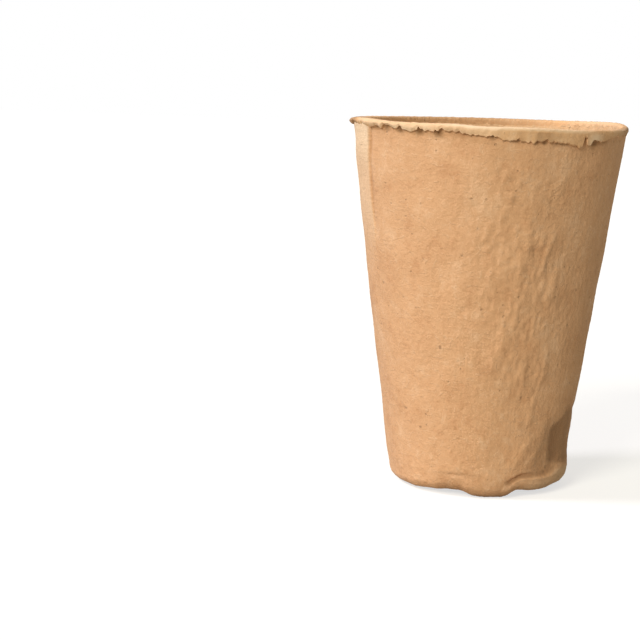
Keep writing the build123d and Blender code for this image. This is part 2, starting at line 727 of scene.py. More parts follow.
@dataclass(frozen=True)
class PotForm:
    """Shape of the pot's two skins: the plain section and every way in which it is uneven."""

    sizes: PotSizes
    sway: Sway = Sway()
    flat_side: FlatSide = FlatSide()
    lap: Lap = Lap()
    folds: Folds = Folds()
    inner_felt: InnerFelt = InnerFelt()
    columns: int = 504
    column_samples: int = 14401
    dense_spots: tuple[tuple[float, float, float], ...] = ((-60.3, 7.0, 1.6), (50.0, 9.0, 0.8))
    wall_step: float = 0.72
    inner_step: float = 1.42
    fine_step: float = 0.24
    fine_below: float = 9.6
    heel_radius: float = 3.2
    inner_corner: float = 2.2
    foot_slope: float = 1.8
    foot_radius: float = 1.6
    middle_radius: float = 0.3
    rim_span: Span = (72.0, 99.0)
    outer_foot_span: Span = (7.0, 1.0)
    inner_foot_top: float = 9.0
    inner_foot_low: float = 0.5
    lift_reach: Span = (-3.5, 1.0)
    wall_reach: Span = (0.0, 4.0)
    under_reach: Span = (3.0, -3.0)
    inner_wall_reach: Span = (-2.0, 2.0)
    floor_felt_reach: Span = (1.5, -3.0)
    rim_rise: Knots = (
        (-135.0, 0.25), (-105.0, 0.35), (-85.0, 0.2), (-66.0, 0.8), (-48.0, 0.55), (-40.0, 0.4),
        (-26.0, 0.45), (-14.0, 0.6), (-6.0, 0.3), (1.0, 0.2), (9.0, 0.35), (16.0, 0.3), (25.0, 0.1),
        (50.0, -0.2), (85.0, 0.2), (110.0, 0.95), (150.0, 0.5), (180.0, 0.4),
    )
    toes: tuple[Toe, ...] = (
        Toe(66.0, 49.0, 1.05, 5.9, 0.8, 0.65, 29.0, 3.4),
        Toe(-13.0, 19.0, 0.1, 6.0, 2.0, 0.25, -10.0),
        Toe(8.0, 17.0, 0.5, 3.0, 3.0, 0.0, 0.0),
        Toe(-85.0, 34.0, -0.3, 6.0, 4.0, 0.0, 0.0),
        Toe(176.0, 34.0, 0.5, 5.0, 0.6, 0.6, 165.0),
        Toe(-140.0, 16.0, 0.35, 4.6, 0.6, 0.4, -146.0),
    )
    foot_lift: Knots = (
        (-170.0, 0.0), (-150.0, 0.2), (-130.0, 0.4), (-118.0, 1.2), (-109.0, 0.5), (-80.0, 0.45),
        (-50.0, 0.6), (-27.0, 1.1), (-10.5, 1.6), (-6.3, 1.3), (-2.2, 0.6), (1.8, 0.2), (9.0, 0.0),
        (16.0, 0.0), (22.6, 0.5), (27.0, 1.5), (31.0, 1.9), (42.0, 1.4), (54.0, 1.3), (64.0, 1.5),
        (75.0, 1.3), (90.0, 0.9), (115.0, 0.3), (125.0, 0.2), (138.0, 1.4), (152.0, 0.3), (165.0, 0.0),
    )
    wrinkles: tuple[Wrinkle, ...] = (
        Wrinkle((20.5, 104.0), (15.0, 24.0), 5.5, 0.55),
        Wrinkle((20.0, 84.0), (16.0, 44.0), 0.9, 0.46),
        Wrinkle((31.5, 76.0), (28.0, 59.0), 0.9, 0.41),
        Wrinkle((38.0, 65.0), (34.5, 52.0), 0.9, 0.38),
        Wrinkle((11.8, 49.0), (7.2, 33.0), 0.9, 0.32),
        Wrinkle((24.2, 44.0), (24.9, 30.0), 0.9, 0.35),
        Wrinkle((38.3, 44.0), (35.0, 30.0), 0.9, 0.35),
        Wrinkle((33.5, 30.0), (30.5, 19.0), 0.9, 0.32),
        Wrinkle((43.0, 24.0), (36.5, 6.5), 1.3, 0.49),
        Wrinkle((34.0, 19.0), (24.0, 6.5), 1.3, 0.43),
    )
    # Painted shade on the wall under the lip's torn edge, in its gaps, slit and tears; each level is a depth
    # below the rim's top.
    painted_lip_shade: tuple[PaintedSpot, ...] = (
        PaintedSpot(-52.0, 2.6, 2.0, 1.0, 0.45),
        PaintedSpot(-46.0, 3.2, 1.85, 1.2, 0.65),
        PaintedSpot(-38.3, 3.4, 1.85, 1.7, 1.0),
        PaintedSpot(-29.0, 3.3, 2.05, 1.9, 1.0),
        PaintedSpot(-20.6, 3.3, 2.4, 1.7, 1.0),
        PaintedSpot(-10.0, 8.0, 2.4, 0.9, 0.4),
        PaintedSpot(1.6, 2.4, 2.7, 1.0, 0.8),
        PaintedSpot(11.0, 3.6, 3.4, 1.0, 0.7),
        PaintedSpot(19.6, 1.8, 3.55, 1.2, 0.85),
        PaintedSpot(22.6, 2.0, 3.5, 1.1, 0.85),
        PaintedSpot(30.0, 8.0, 3.9, 0.9, 0.55),
        PaintedSpot(42.3, 1.5, 2.4, 1.9, 0.95),
        PaintedSpot(48.5, 4.4, 3.4, 1.2, 0.9),
        PaintedSpot(54.5, 5.0, 2.9, 0.9, 0.5),
        PaintedSpot(-112.0, 3.0, 2.3, 1.0, 0.6),
        PaintedSpot(102.0, 2.0, 2.4, 1.2, 0.7),
        PaintedSpot(152.5, 2.0, 2.6, 1.2, 0.7),
    )
    # Painted shade round the knocked flat and over the right toe's crease, painted light on that toe's roll,
    # and painted shade along the front of the foot.
    painted_low_shading: tuple[PaintedSpot, ...] = (
        PaintedSpot(46.0, 18.0, 12.0, 12.0, 0.22, 12.0, 7.0),
        PaintedSpot(66.0, 40.0, 3.4, 4.4, -0.35, 18.0, 2.4),
        PaintedSpot(2.0, 34.0, 0.0, 7.0, 0.3, 16.0, 6.0),
        PaintedSpot(19.0, 9.0, 0.0, 7.0, 0.2, 0.0, 6.0),
    )
    # Strengths of the painted shade in the folds' creases and in the toes' creases.
    crease_shade: float = 0.25
    toe_crease_shade: float = 0.95
    under_felt: Ripples = Ripples(16, 6.0, 6.0)
    under_rise: float = 0.16
    under_depth: float = 0.1
    floor_felt: Ripples = Ripples(22, 4.5, 4.5)
    floor_rise: float = 0.2
    inner_flat_share: float = 0.8

    def section(self, inner: bool) -> Array:
        """Plain section of one skin, from the top of the wall to the middle of the floor.

        Args:
            inner: True for the inside of the pot.

        Returns:
            Rows of radius, height and distance run.
        """
        s = self.sizes
        if inner:
            coarse = self.inner_step
            line = rounded_line((
                (s.wall_radius(s.wall_top) - s.wall_run, s.wall_top, 0.0),
                (s.wall_radius(s.floor_top) - s.wall_run, s.floor_top, self.inner_corner),
                (self.middle_radius, s.floor_top, 0.0),
            ))
        else:
            coarse = self.wall_step
            line = rounded_line((
                (s.wall_radius(s.wall_top), s.wall_top, 0.0),
                (s.wall_radius(0.0), 0.0, self.heel_radius),
                (s.floor_radius + self.foot_slope / 2.0, 0.0, self.foot_radius),
                (s.floor_radius - self.foot_slope / 2.0, s.floor_under, self.foot_radius),
                (self.middle_radius, s.floor_under, 0.0),
            ))
        on_floor = line[:, 0] < s.floor_radius - self.foot_slope
        step = np.where((line[:, 1] > self.fine_below) | on_floor, coarse, self.fine_step)
        return spaced(line, step)

    def turns(self) -> Array:
        """Angle of each column, in radians, from the back round to the back.

        Returns:
            Angles that are evenly spread in the sum of a density, which is highest at the lap.
        """
        even = np.linspace(-np.pi, np.pi, self.column_samples)
        dense = np.ones_like(even)
        for angle, half_width, extra in self.dense_spots:
            dense = dense + extra * hump(gap(even, angle), half_width)
        share = np.concatenate([[0.0], np.cumsum(dense[1:] + dense[:-1])])
        return np.interp(np.arange(self.columns) / self.columns, share / share[-1], even)

    def swayed(self, turn: Array, height: Array) -> Array:
        """Radial shift by which the pot is out of round at each angle and height."""
        return self.sway.shift(turn, height, self.sizes.height)

    def past_floor(self, radius: Array, reach: Span) -> Array:
        """Smooth step between two distances outside the floor panel's edge."""
        return ease(radius, self.sizes.floor_radius + reach[0], self.sizes.floor_radius + reach[1])

    def lift(self, turn: Array, radius: Array, height: Array, foot: Span) -> Array:
        """How far a skin is lifted at its foot and at the rim.

        Args:
            turn: Angles in radians.
            radius: Radii. The lift is full under the heel, and there is none on the floor panel.
            height: Heights.
            foot: Heights between which the foot's lift sets in.

        Returns:
            The upward shift.
        """
        lift = round_the_pot(turn, self.foot_lift) * self.past_floor(radius, self.lift_reach)
        rise = round_the_pot(turn, self.rim_rise) * ease(height, *self.rim_span)
        return lift * ease(height, *foot) + rise

    def outer_skin(self) -> Skin:
        """Builds the outside of the pot, from the wall's top to the middle of the underside.

        Returns:
            The plain section turned round, moved out by sway, lap, flat and toes, and moved along
            its own normal by folds, wrinkles and the felt of the underside.
        """
        s = self.sizes
        section = self.section(inner=False)
        turn = self.turns()
        radius, height, run = section[:, :1], section[:, 1:2], section[:, 2]
        slant = np.gradient(section[:, :2], run, axis=0)
        proud, crease = self.folds.relief(turn, height, run)
        for wrinkle in self.wrinkles:
            proud = proud + wrinkle.swell(turn, height, s.wall_radius(height))
        flat = placed(turn, radius, height)
        felt = self.under_rise * self.under_felt.on_plane(flat[..., 0], flat[..., 1])
        under = self.past_floor(radius, self.under_reach) * (height < s.heel_height)
        proud = proud * (1.0 - under) + (felt - self.under_depth) * under
        wall = self.past_floor(radius, self.wall_reach)
        knocked = self.flat_side.share(turn, height)
        bulges, creases = zip(*(toe.shape(turn, height) for toe in self.toes))
        lap, lap_shading = self.lap.shape(turn, height, s.height)
        shift = (self.swayed(turn, height) + lap - self.flat_side.depth * knocked + sum(bulges)) * wall
        lift = self.lift(turn, radius, height, self.outer_foot_span)
        points = placed(turn, radius + shift - slant[:, 1:] * proud, height + lift + slant[:, :1] * proud)
        points[..., 2] = np.maximum(points[..., 2], 0.0)
        # Painted shade and painted light laid on the outside's vertices: the flat, the creases, the spots
        # under the lip and low down, and the lap.
        painted_shading = self.flat_side.painted_mark * knocked + self.toe_crease_shade * np.maximum.reduce(creases)
        painted_shading = painted_shading + sum(painted_mark.shade(turn, height) for painted_mark in self.painted_low_shading)
        painted_shading = wall * painted_shading + sum(painted_mark.shade(turn, s.height - height) for painted_mark in self.painted_lip_shade)
        painted_shading = np.clip(self.crease_shade * crease * (1.0 - under) + painted_shading, -1.0, 1.0) + lap_shading
        return Skin(points, grid_normals(points), section, painted_shading)

    def inner_skin(self) -> Skin:
        """Builds the inside of the pot, from the wall's top to the middle of the floor.

        Returns:
            The plain section turned round, moved by the shared shifts and by clumps of felt.
        """
        section = self.section(inner=True)
        turn = self.turns()
        radius, height, run = section[:, :1], section[:, 1:2], section[:, 2]
        slant = np.gradient(section[:, :2], run, axis=0)
        flat = placed(turn, radius, height)
        matted = self.floor_rise * self.floor_felt.on_plane(flat[..., 0], flat[..., 1])
        on_floor = self.past_floor(radius, self.floor_felt_reach)
        proud = self.lumpy_felt(turn, run) * (1.0 - on_floor) + matted * on_floor
        knocked = self.inner_flat_share * self.flat_side.depth * self.flat_side.share(turn, height)
        shift = (self.swayed(turn, height) - knocked) * self.past_floor(radius, self.inner_wall_reach)
        foot = (self.inner_foot_top, self.sizes.floor_top + self.inner_foot_low)
        lift = self.lift(turn, radius, height, foot)
        points = placed(turn, radius + shift + slant[:, 1:] * proud, height + lift - slant[:, :1] * proud)
        return Skin(points, -grid_normals(points), section, np.zeros(points.shape[:2]))

    def lumpy_felt(self, turn: Array, run: Array) -> Array:
        """The felt of the inner wall together with the shared lumps."""
        return self.inner_felt.shift(turn, run) - self.folds.lumpy(turn, run)


@dataclass(frozen=True)
class Band:
    """One stretch of a closed section: rows, normals, painted shade and light of each place, and its finish.
    """

    points: Array
    normals: Array
    painted_shading: Array
    finish: int


def grid_quads(lines: int, rows: int, columns: int) -> Array:
    """Faces of a grid that is closed round its columns.

    Args:
        lines: How many rows of faces there are. With as many as rows, the last joins the first.
        rows: Rows of vertices.
        columns: Columns of vertices.

    Returns:
        Four vertex numbers for each face.
    """
    row, column = np.meshgrid(np.arange(lines), np.arange(columns), indexing="ij")
    row, below, beside = row * columns, (row + 1) % rows * columns, (column + 1) % columns
    corners = [row + column, below + column, below + beside, row + beside]
    return np.stack(corners, axis=-1).reshape(-1, 4)


def closed_ring(
    name: str, bands: Sequence[Band], materials: Sequence[bpy.types.Material]
) -> bpy.types.Object:
    """Makes a ring whose section is closed, from bands that follow one another round it.

    Args:
        name: Name of the piece.
        bands: Bands in order round the section. Flat strips join each one to the next.
        materials: Finishes that the bands name by number.

    Returns:
        The piece, smooth along each band and with its faces outwards.
    """
    points = np.concatenate([band.points for band in bands])
    normals = np.concatenate([band.normals for band in bands])
    painted_shading = np.concatenate([band.painted_shading for band in bands])
    finish = np.concatenate([np.full(len(band.points), band.finish) for band in bands])
    last = np.zeros(len(points), bool)
    last[np.cumsum([len(band.points) for band in bands]) - 1] = True
    rows, columns = points.shape[:2]
    quads = grid_quads(rows, rows, columns)
    flat = np.repeat(last, columns)
    piece = mesh_piece(name, points.reshape(-1, 3), quads, normals.reshape(-1, 3), flat, materials)
    return marked(piece, np.repeat(finish, columns), painted_shading.ravel())


def closed_disc(
    name: str, top: Band, under: Band, materials: Sequence[bpy.types.Material]
) -> bpy.types.Object:
    """Makes a disc from a top and an underside, with a flat strip round its edge.

    Args:
        name: Name of the piece.
        top: Upper face, from the edge to near the middle.
        under: Lower face, from the edge to near the middle.
        materials: Finishes that the faces name by number.

    Returns:
        The piece. A fan of triangles closes the middle of each face.
    """
    points = np.concatenate([top.points[::-1], under.points])
    normals = np.concatenate([top.normals[::-1], under.normals])
    rows, columns = points.shape[:2]
    quads = grid_quads(rows - 1, rows, columns)
    ends = np.array([rows * columns, rows * columns + 1])
    round_column = np.arange(columns)
    next_column = (round_column + 1) % columns
    first_fan = np.stack([np.full(columns, ends[0]), round_column, next_column], axis=-1)
    far = (rows - 1) * columns
    last_fan = np.stack([np.full(columns, ends[1]), far + next_column, far + round_column], axis=-1)
    middles = np.stack([points[0].mean(0), points[-1].mean(0)])
    middle_normals = np.array([[0.0, 0.0, 1.0], [0.0, 0.0, -1.0]])
    places = np.concatenate([points.reshape(-1, 3), middles])
    facing = np.concatenate([normals.reshape(-1, 3), middle_normals])
    edge = len(top.points) - 1
    flat = np.concatenate([np.repeat(np.arange(rows - 1) == edge, columns), np.zeros(2 * columns, bool)])
    finish = np.concatenate([
        np.repeat(np.where(np.arange(rows - 1) < edge, top.finish, under.finish), columns),
        np.full(columns, top.finish),
        np.full(columns, under.finish),
    ])
    faces = [*quads.tolist(), *first_fan.tolist(), *last_fan.tolist()]
    painted_shading = np.concatenate([top.painted_shading[::-1].ravel(), under.painted_shading.ravel(), np.zeros(2)])
    return marked(mesh_piece(name, places, faces, facing, flat, materials), finish, painted_shading)


def mesh_piece(
    name: str,
    places: Array,
    faces: Array | list[list[int]],
    normals: Array,
    flat: Array,
    materials: Sequence[bpy.types.Material],
) -> bpy.types.Object:
    """Puts arrays into a mesh object.

    Args:
        name: Name of the piece.
        places: Vertices.
        faces: Vertex numbers of each face.
        normals: Normal of each vertex, used on the faces that are not flat.
        flat: True for each face that is shaded flat.
        materials: The finishes.

    Returns:
        The linked object, at the origin.
    """
    mesh = bpy.data.meshes.new(name)
    mesh.from_pydata(places * MM, [], faces)
    for material in materials:
        mesh.materials.append(material)
    mesh.polygons.foreach_set("use_smooth", np.ones(len(mesh.polygons), bool))
    corner = np.empty(len(mesh.loops), np.int32)
    mesh.loops.foreach_get("vertex_index", corner)
    sides = np.empty(len(mesh.polygons), np.int32)
    mesh.polygons.foreach_get("loop_total", sides)
    facing = np.empty(len(mesh.polygons) * 3)
    mesh.polygons.foreach_get("normal", facing)
    facing = np.repeat(facing.reshape(-1, 3), sides, axis=0)
    shading = np.where(np.repeat(flat, sides)[:, None], facing, normals[corner])
    mesh.normals_split_custom_set(shading)
    return linked(name, mesh)


def linked(name: str, data: bpy.types.ID) -> bpy.types.Object:
    """Puts a mesh, a lamp or a camera into the scene.

    Args:
        name: Name of its object.
        data: What the object holds.

    Returns:
        The object, at the origin.
    """
    holder = bpy.data.objects.new(name, data)
    bpy.context.scene.collection.objects.link(holder)
    return holder


def marked(piece: bpy.types.Object, finish: Array, painted_shading: Array) -> bpy.types.Object:
    """Writes what a piece's faces and vertices wear.

    Args:
        piece: The piece.
        finish: Number of each face's finish.
        painted_shading: How much painted shade each vertex has, from -1 where it has painted light to 1.

    Returns:
        The same piece.
    """
    piece.data.polygons.foreach_set("material_index", finish.astype(np.int32))
    layer = piece.data.attributes.new("painted_shading", "FLOAT", "POINT")
    layer.data.foreach_set("value", painted_shading.astype(np.float32))
    return piece


def fit(piece: bpy.types.Object, slot: str, *nodes: str) -> None:
    """Ties a piece to the frame.

    Args:
        piece: The piece.
        slot: Material slot of the record; not used.
        nodes: Solids that it stands for.
    """
    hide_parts(*nodes)
    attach(piece, BODY)
    LOG.info("%s: %d faces", piece.name, len(piece.data.polygons))


@dataclass(frozen=True)
class Moulding:
    """The pot's body: side wall, heel and floor, cut from two continuous skins."""

    form: PotForm

    def build(self, outside: bpy.types.Material, inside: bpy.types.Material) -> None:
        """Builds and dresses the three pieces.

        Args:
            outside: Finish of the outer skin.
            inside: Finish of the inner skin.
        """
        outer, inner = self.form.outer_skin(), self.form.inner_skin()
        finishes = (outside, inside)
        heel_out, floor_out = self.cuts(outer)
        heel_in, floor_in = self.cuts(inner)
        wall = closed_ring("wall_shell", (
            self.band(outer, 0, heel_out, 0),
            self.band(inner, 0, heel_in, 1, backwards=True),
        ), finishes)
        heel = closed_ring("heel_shell", (
            self.band(outer, heel_out, floor_out, 0),
            self.band(inner, heel_in, floor_in, 1, backwards=True),
        ), finishes)
        floor = closed_disc(
            "floor_shell",
            self.band(inner, floor_in, len(inner.section) - 1, 1),
            self.band(outer, floor_out, len(outer.section) - 1, 0),
            finishes,
        )
        fit(wall, "pulp", "side_wall")
        fit(heel, "pulp", "heel")
        fit(floor, "pulp", "floor_panel")

    def cuts(self, skin: Skin) -> tuple[int, int]:
        """Finds where a skin passes from one piece to the next.

        Args:
            skin: One of the two skins.

        Returns:
            Its rows between wall and heel, and between heel and floor.
        """
        s = self.form.sizes
        heel = int(np.argmin(np.abs(skin.section[:, 1] - s.heel_height)))
        floor = int(np.argmin(np.abs(skin.section[:, 0] - s.floor_radius)))
        return heel, floor

    @staticmethod
    def band(skin: Skin, first: int, last: int, finish: int, backwards: bool = False) -> Band:
        """Takes a band out of a skin.

        Args:
            skin: The skin.
            first: First row.
            last: Last row, which the band includes.
            finish: Number of the band's finish.
            backwards: True to turn the rows round.

        Returns:
            The band.
        """
        rows = slice(first, last + 1)
        step = -1 if backwards else 1
        points, normals, painted_shading = (part[rows][::step] for part in (skin.points, skin.normals, skin.painted_shading))
        return Band(points, normals, painted_shading, finish)


@dataclass(frozen=True)
class Tear:
    """Painted shade in the gap under the lip's torn edge, over which the edge curls out.

    Fields:
        angle: Middle of the gap.
        half_width: Degrees from the middle to each side.
        dark: How much painted shade its middle has.
        curl: How far the edge curls out over it.
    """

    angle: float
    half_width: float
    dark: float
    curl: float = 0.15


class LipPart(Enum):
    """Parts of the lip's section: where each one sets in and where it ends, counted in controls."""

    MOUTH = ((-1.0, 0.0), (5.0, 4.0))
    WHOLE = ((3.5, 4.5), (11.0, 10.0))
    FACE = ((4.0, 5.0), (11.0, 9.0))
    CROWN = ((4.2, 5.2), (7.8, 6.8))
    FLAP = ((6.5, 8.5), (11.2, 10.4))
    SKIRT = ((6.8, 8.0), (11.0, 9.5))
    TORN_EDGE = ((10.6, 11.4), (13.0, 12.0))

    def share(self, row: Array) -> Array:
        """How far each row is in the part, from 0 to 1."""
        return ease(row, *self.value[0]) * ease(row, *self.value[1])


@dataclass(frozen=True)
class PaintedLipShading:
    """Painted shade along a part of the lip, or painted light where its strength is below 0.

    Fields:
        part: Part of the lip's section.
        angle: Middle of the tint.
        half_width: Degrees from the middle to each end.
        strength: How much painted shade its middle has, from -1 for painted light to 1.
        edge: Degrees over which each end fades, or 0 where it is rounded.
    """

    part: LipPart
    angle: float
    half_width: float
    strength: float
    edge: float = 0.0

    def shade(self, turn: Array, row: Array) -> Array:
        """Painted shade of each place, below 0 painted light: a hill along the lip times its part's share."""
        along = hill(gap(turn, self.angle), self.half_width, self.edge)
        return self.strength * along * self.part.share(row)


@dataclass(frozen=True)
class CuffStrip:
    """Outer strip of lip and fringe: rows, their painted shade and light, closing rows, border row."""

    points: Array
    painted_shading: Array
    closing: Array
    border: int


@dataclass(frozen=True)
class RimCuff:
    """The lip that caps the wall and the torn fringe under it, cut from one strip."""

    form: PotForm
    columns: int = 1512
    rows_per_span: int = 5
    overhang: Knots = (
        (-150.0, 1.0), (-90.0, 1.15), (-40.0, 1.0), (0.0, 0.8), (45.0, 0.85), (90.0, 0.3), (150.0, 0.8),
    )
    edge: Knots = (
        (-150.0, 0.5), (-90.0, 0.6), (-50.0, 0.45), (10.0, 0.55), (25.0, 0.7), (50.0, 0.65),
        (80.0, 0.12), (100.0, 0.12), (135.0, 0.5),
    )
    depth: Knots = (
        (-150.0, 2.7), (-130.0, 3.0), (-112.0, 1.5), (-95.0, 1.3), (-78.0, 1.4), (-62.0, 1.75),
        (-55.0, 2.0), (-52.0, 1.6), (-49.5, 1.9), (-46.0, 1.25), (-42.0, 1.5), (-39.8, 1.85),
        (-38.2, 1.2), (-36.3, 1.75), (-34.0, 2.15), (-31.5, 2.05), (-29.0, 1.25), (-27.0, 1.7),
        (-25.0, 2.1), (-23.3, 2.05), (-20.8, 1.55), (-15.0, 1.7), (-9.0, 2.2), (-2.0, 2.4), (1.5, 2.2),
        (6.0, 3.45), (9.0, 3.45), (11.5, 2.9), (14.0, 3.75), (18.0, 3.85), (19.5, 3.05), (21.0, 3.65),
        (22.8, 3.0), (26.0, 3.6), (33.0, 3.5), (37.0, 4.2), (41.0, 4.3), (41.7, 1.6), (42.9, 1.6),
        (43.5, 3.4), (45.0, 4.2), (46.6, 3.0), (50.0, 2.6), (52.0, 2.9), (58.0, 2.3), (66.0, 1.7),
        (80.0, 2.0), (100.0, 2.6), (102.0, 1.4), (104.0, 2.6), (140.0, 3.2), (151.0, 2.9), (152.5, 1.6),
        (154.0, 2.8), (180.0, 2.6),
    )
    tears: tuple[Tear, ...] = (
        Tear(-52.0, 2.8, 0.65),
        Tear(-46.0, 3.2, 0.8),
        Tear(-38.0, 3.2, 1.3, 0.3),
        Tear(-28.5, 3.2, 1.4, 0.3),
        Tear(-20.5, 4.0, 1.3, 0.3),
        Tear(-4.0, 6.0, 0.4, 0.1),
        Tear(1.6, 2.2, 0.9, 0.2),
        Tear(9.0, 3.0, 0.8, 0.2),
        Tear(11.6, 2.2, 0.6, 0.2),
        Tear(19.5, 1.6, 0.7, 0.2),
        Tear(22.8, 1.8, 0.65, 0.2),
        Tear(29.0, 6.0, 0.4, 0.1),
        Tear(42.4, 1.0, 0.3, 0.2),
        Tear(49.5, 4.4, 1.1, 0.2),
        Tear(102.0, 1.6, 0.6),
        Tear(152.5, 1.4, 0.6),
        Tear(-112.0, 3.0, 0.7),
    )
    # Painted light on the lit left of the lip's face and on hanging flaps, painted shade on the front skirt
    # and at the lip's two ends, a painted highlight along the crown, and painted light and shade inside the
    # mouth.
    tints: tuple[PaintedLipShading, ...] = (
        PaintedLipShading(LipPart.FACE, -50.0, 82.0, -0.35, 50.0),
        PaintedLipShading(LipPart.FLAP, -38.0, 18.0, -0.3),
        PaintedLipShading(LipPart.FLAP, 16.0, 4.0, -0.5),
        PaintedLipShading(LipPart.FLAP, 48.0, 7.0, -0.75),
        PaintedLipShading(LipPart.SKIRT, 17.0, 18.0, 0.45),
        PaintedLipShading(LipPart.WHOLE, 80.0, 24.0, 0.45),
        PaintedLipShading(LipPart.WHOLE, -84.0, 21.0, 0.85, 6.0),
        PaintedLipShading(LipPart.CROWN, 14.0, 40.0, -0.55, 20.0),
        PaintedLipShading(LipPart.MOUTH, 118.0, 45.0, -0.4),
        PaintedLipShading(LipPart.MOUTH, -168.0, 75.0, 0.4),
    )
    least_depth: float = 0.7
    fringe_depth: float = 0.12
    # Painted shade under the torn edge: its least strength, what more it gains, and the span over which it
    # gains it.
    gap_shade_base: float = 0.08
    gap_shade_extra: float = 0.6
    gap_shade_span: Span = (0.25, 0.95)
    inner_reach: float = 4.2
    inner_proud: float = 0.12
    buried: float = 0.4
    border_control: int = 9
    ragged: Ripples = Ripples(31, 4.2, 4.0, 37.5)
    nibbled: Ripples = Ripples(32, 1.3, 4.0, 37.5)
    swell: Ripples = Ripples(33, 9.0, 4.0, 37.5)
    lumps: Ripples = Ripples(34, 2.4, 4.0, 37.5)
    crumbs: Ripples = Ripples(35, 1.1, 4.0, 37.5)
    ragged_depth: float = 0.12
    nibbled_depth: float = 0.14
    swell_overhang: float = 0.07
    lump_overhang: float = 0.015
    swell_edge: float = 0.12
    # Painted shade under the torn edge, also from the lumpy wave round the rim.
    edge_gap_shade: float = 0.1
    lump_gap_shade: float = 0.1
    lump_gap_shade_span: Span = (-0.3, 1.6)
    flare_start: float = 0.15
    flare_gain: float = 1.3
    flare_most: float = 0.9

    def build(self, finish: bpy.types.Material) -> None:
        """Builds and dresses the lip and the fringe.

        Args:
            finish: Finish of both.
        """
        strip = self.strip()
        normals = grid_normals(strip.points)
        hidden = np.zeros_like(strip.closing)
        clean = np.zeros(strip.closing.shape[:2])
        above, below = slice(0, strip.border + 1), slice(strip.border, None)
        lip = closed_ring("lip_cuff", (
            Band(strip.points[above], normals[above], strip.painted_shading[above], 0),
            Band(strip.closing[:1], hidden[:1], clean[:1], 0),
        ), (finish,))
        fringe = closed_ring("lip_fringe", (
            Band(strip.points[below], normals[below], strip.painted_shading[below], 0),
            Band(strip.closing[1:], hidden[1:], clean[1:], 0),
        ), (finish,))
        fit(lip, "pressed_pulp", "rim_lip")
        fit(fringe, "pressed_pulp", "rim_flash")

    def torn_depth(self, turn: Array) -> Array:
        """Depth of the torn edge below the rim's top.

        Args:
            turn: Angles in radians.

        Returns:
            The teeth and gaps, with a ragged and a nibbled wave on them.
        """
        ragged = self.ragged_depth * self.round_rim(turn, self.ragged)
        nibbled = self.nibbled_depth * self.round_rim(turn, self.nibbled)
        return np.maximum(round_the_pot(turn, self.depth) + ragged + nibbled, self.least_depth)

    @staticmethod
    def round_rim(turn: Array, field: Ripples) -> Array:
        """One row of an uneven field, read round the rim."""
        return field.on_wall(turn, np.zeros(1))[0]

    def painted_shading(self, turn: Array, row: Array, lumpy: Array) -> Array:
        """Painted shade and painted light of the strip.

        Args:
            turn: Angle of each column, in radians.
            row: Place of each row, counted in controls.
            lumpy: Wave round the rim, along which the painted shade under the torn edge is a little stronger.

        Returns:
            Rows by columns: painted shade under the torn edge, and painted light and shade along the lip.
        """
        dark = self.edge_gap_shade + self.lump_gap_shade * ease(lumpy, *self.lump_gap_shade_span)
        for tear in self.tears:
            dark = dark + tear.dark * hump(gap(turn, tear.angle), tear.half_width)
        gap_shadow = self.gap_shade_base + self.gap_shade_extra * ease(dark, *self.gap_shade_span)
        tints = sum(tint.shade(turn, row) for tint in self.tints)
        return LipPart.TORN_EDGE.share(row) * gap_shadow + tints

    def strip(self) -> CuffStrip:
        """Works out the cuff's outer strip.

        Returns:
            The strip from inside the mouth over the top to the torn edge and a thin skin under it
            that carries painted shade, with the two rows that close the lip and the fringe inside
            the wall. It is a smooth line through controls that each follow the wall round the pot.
        """
        s = self.form.sizes
        turn = np.linspace(-np.pi, np.pi, self.columns, endpoint=False)
        top = s.height + round_the_pot(turn, self.form.rim_rise)
        depth = self.torn_depth(turn)
        border = np.minimum(s.height - s.lip_bottom, depth - self.fringe_depth)
        fields = (self.swell, self.lumps, self.crumbs)
        swell, lumpy, crumbs = (self.round_rim(turn, field) for field in fields)
        over = round_the_pot(turn, self.overhang)
        over = over + self.swell_overhang * swell + self.lump_overhang * lumpy
        edge = round_the_pot(turn, self.edge) * (1.0 + self.swell_edge * swell)
        for tear in self.tears:
            edge = edge + tear.curl * hump(gap(turn, tear.angle), 2.0 * tear.half_width)

        def outside(down: Array, proud: float | Array) -> tuple[Array, Array]:
            """Places a control near the wall's outer face.

            Args:
                down: Depth below the rim's top.
                proud: How far the control stands out of the face.

            Returns:
                Its radius and height round the pot.
            """
            height = top - down
            return s.wall_radius(height) + self.form.swayed(turn, height) + proud, height

        def inside(down: float | Array, proud: float | Array) -> tuple[Array, Array]:
            """Places a control near the felt of the inner wall.

            Args:
                down: Depth below the rim's top.
                proud: How far the control stands out of the felt.

            Returns:
                Its radius and height round the pot.
            """
            run = max(0.0, float(np.mean(down)) - (s.height - s.wall_top))
            felt = self.form.lumpy_felt(turn, np.array([run]))[0]
            return outside(down, -s.wall_run - felt - proud)

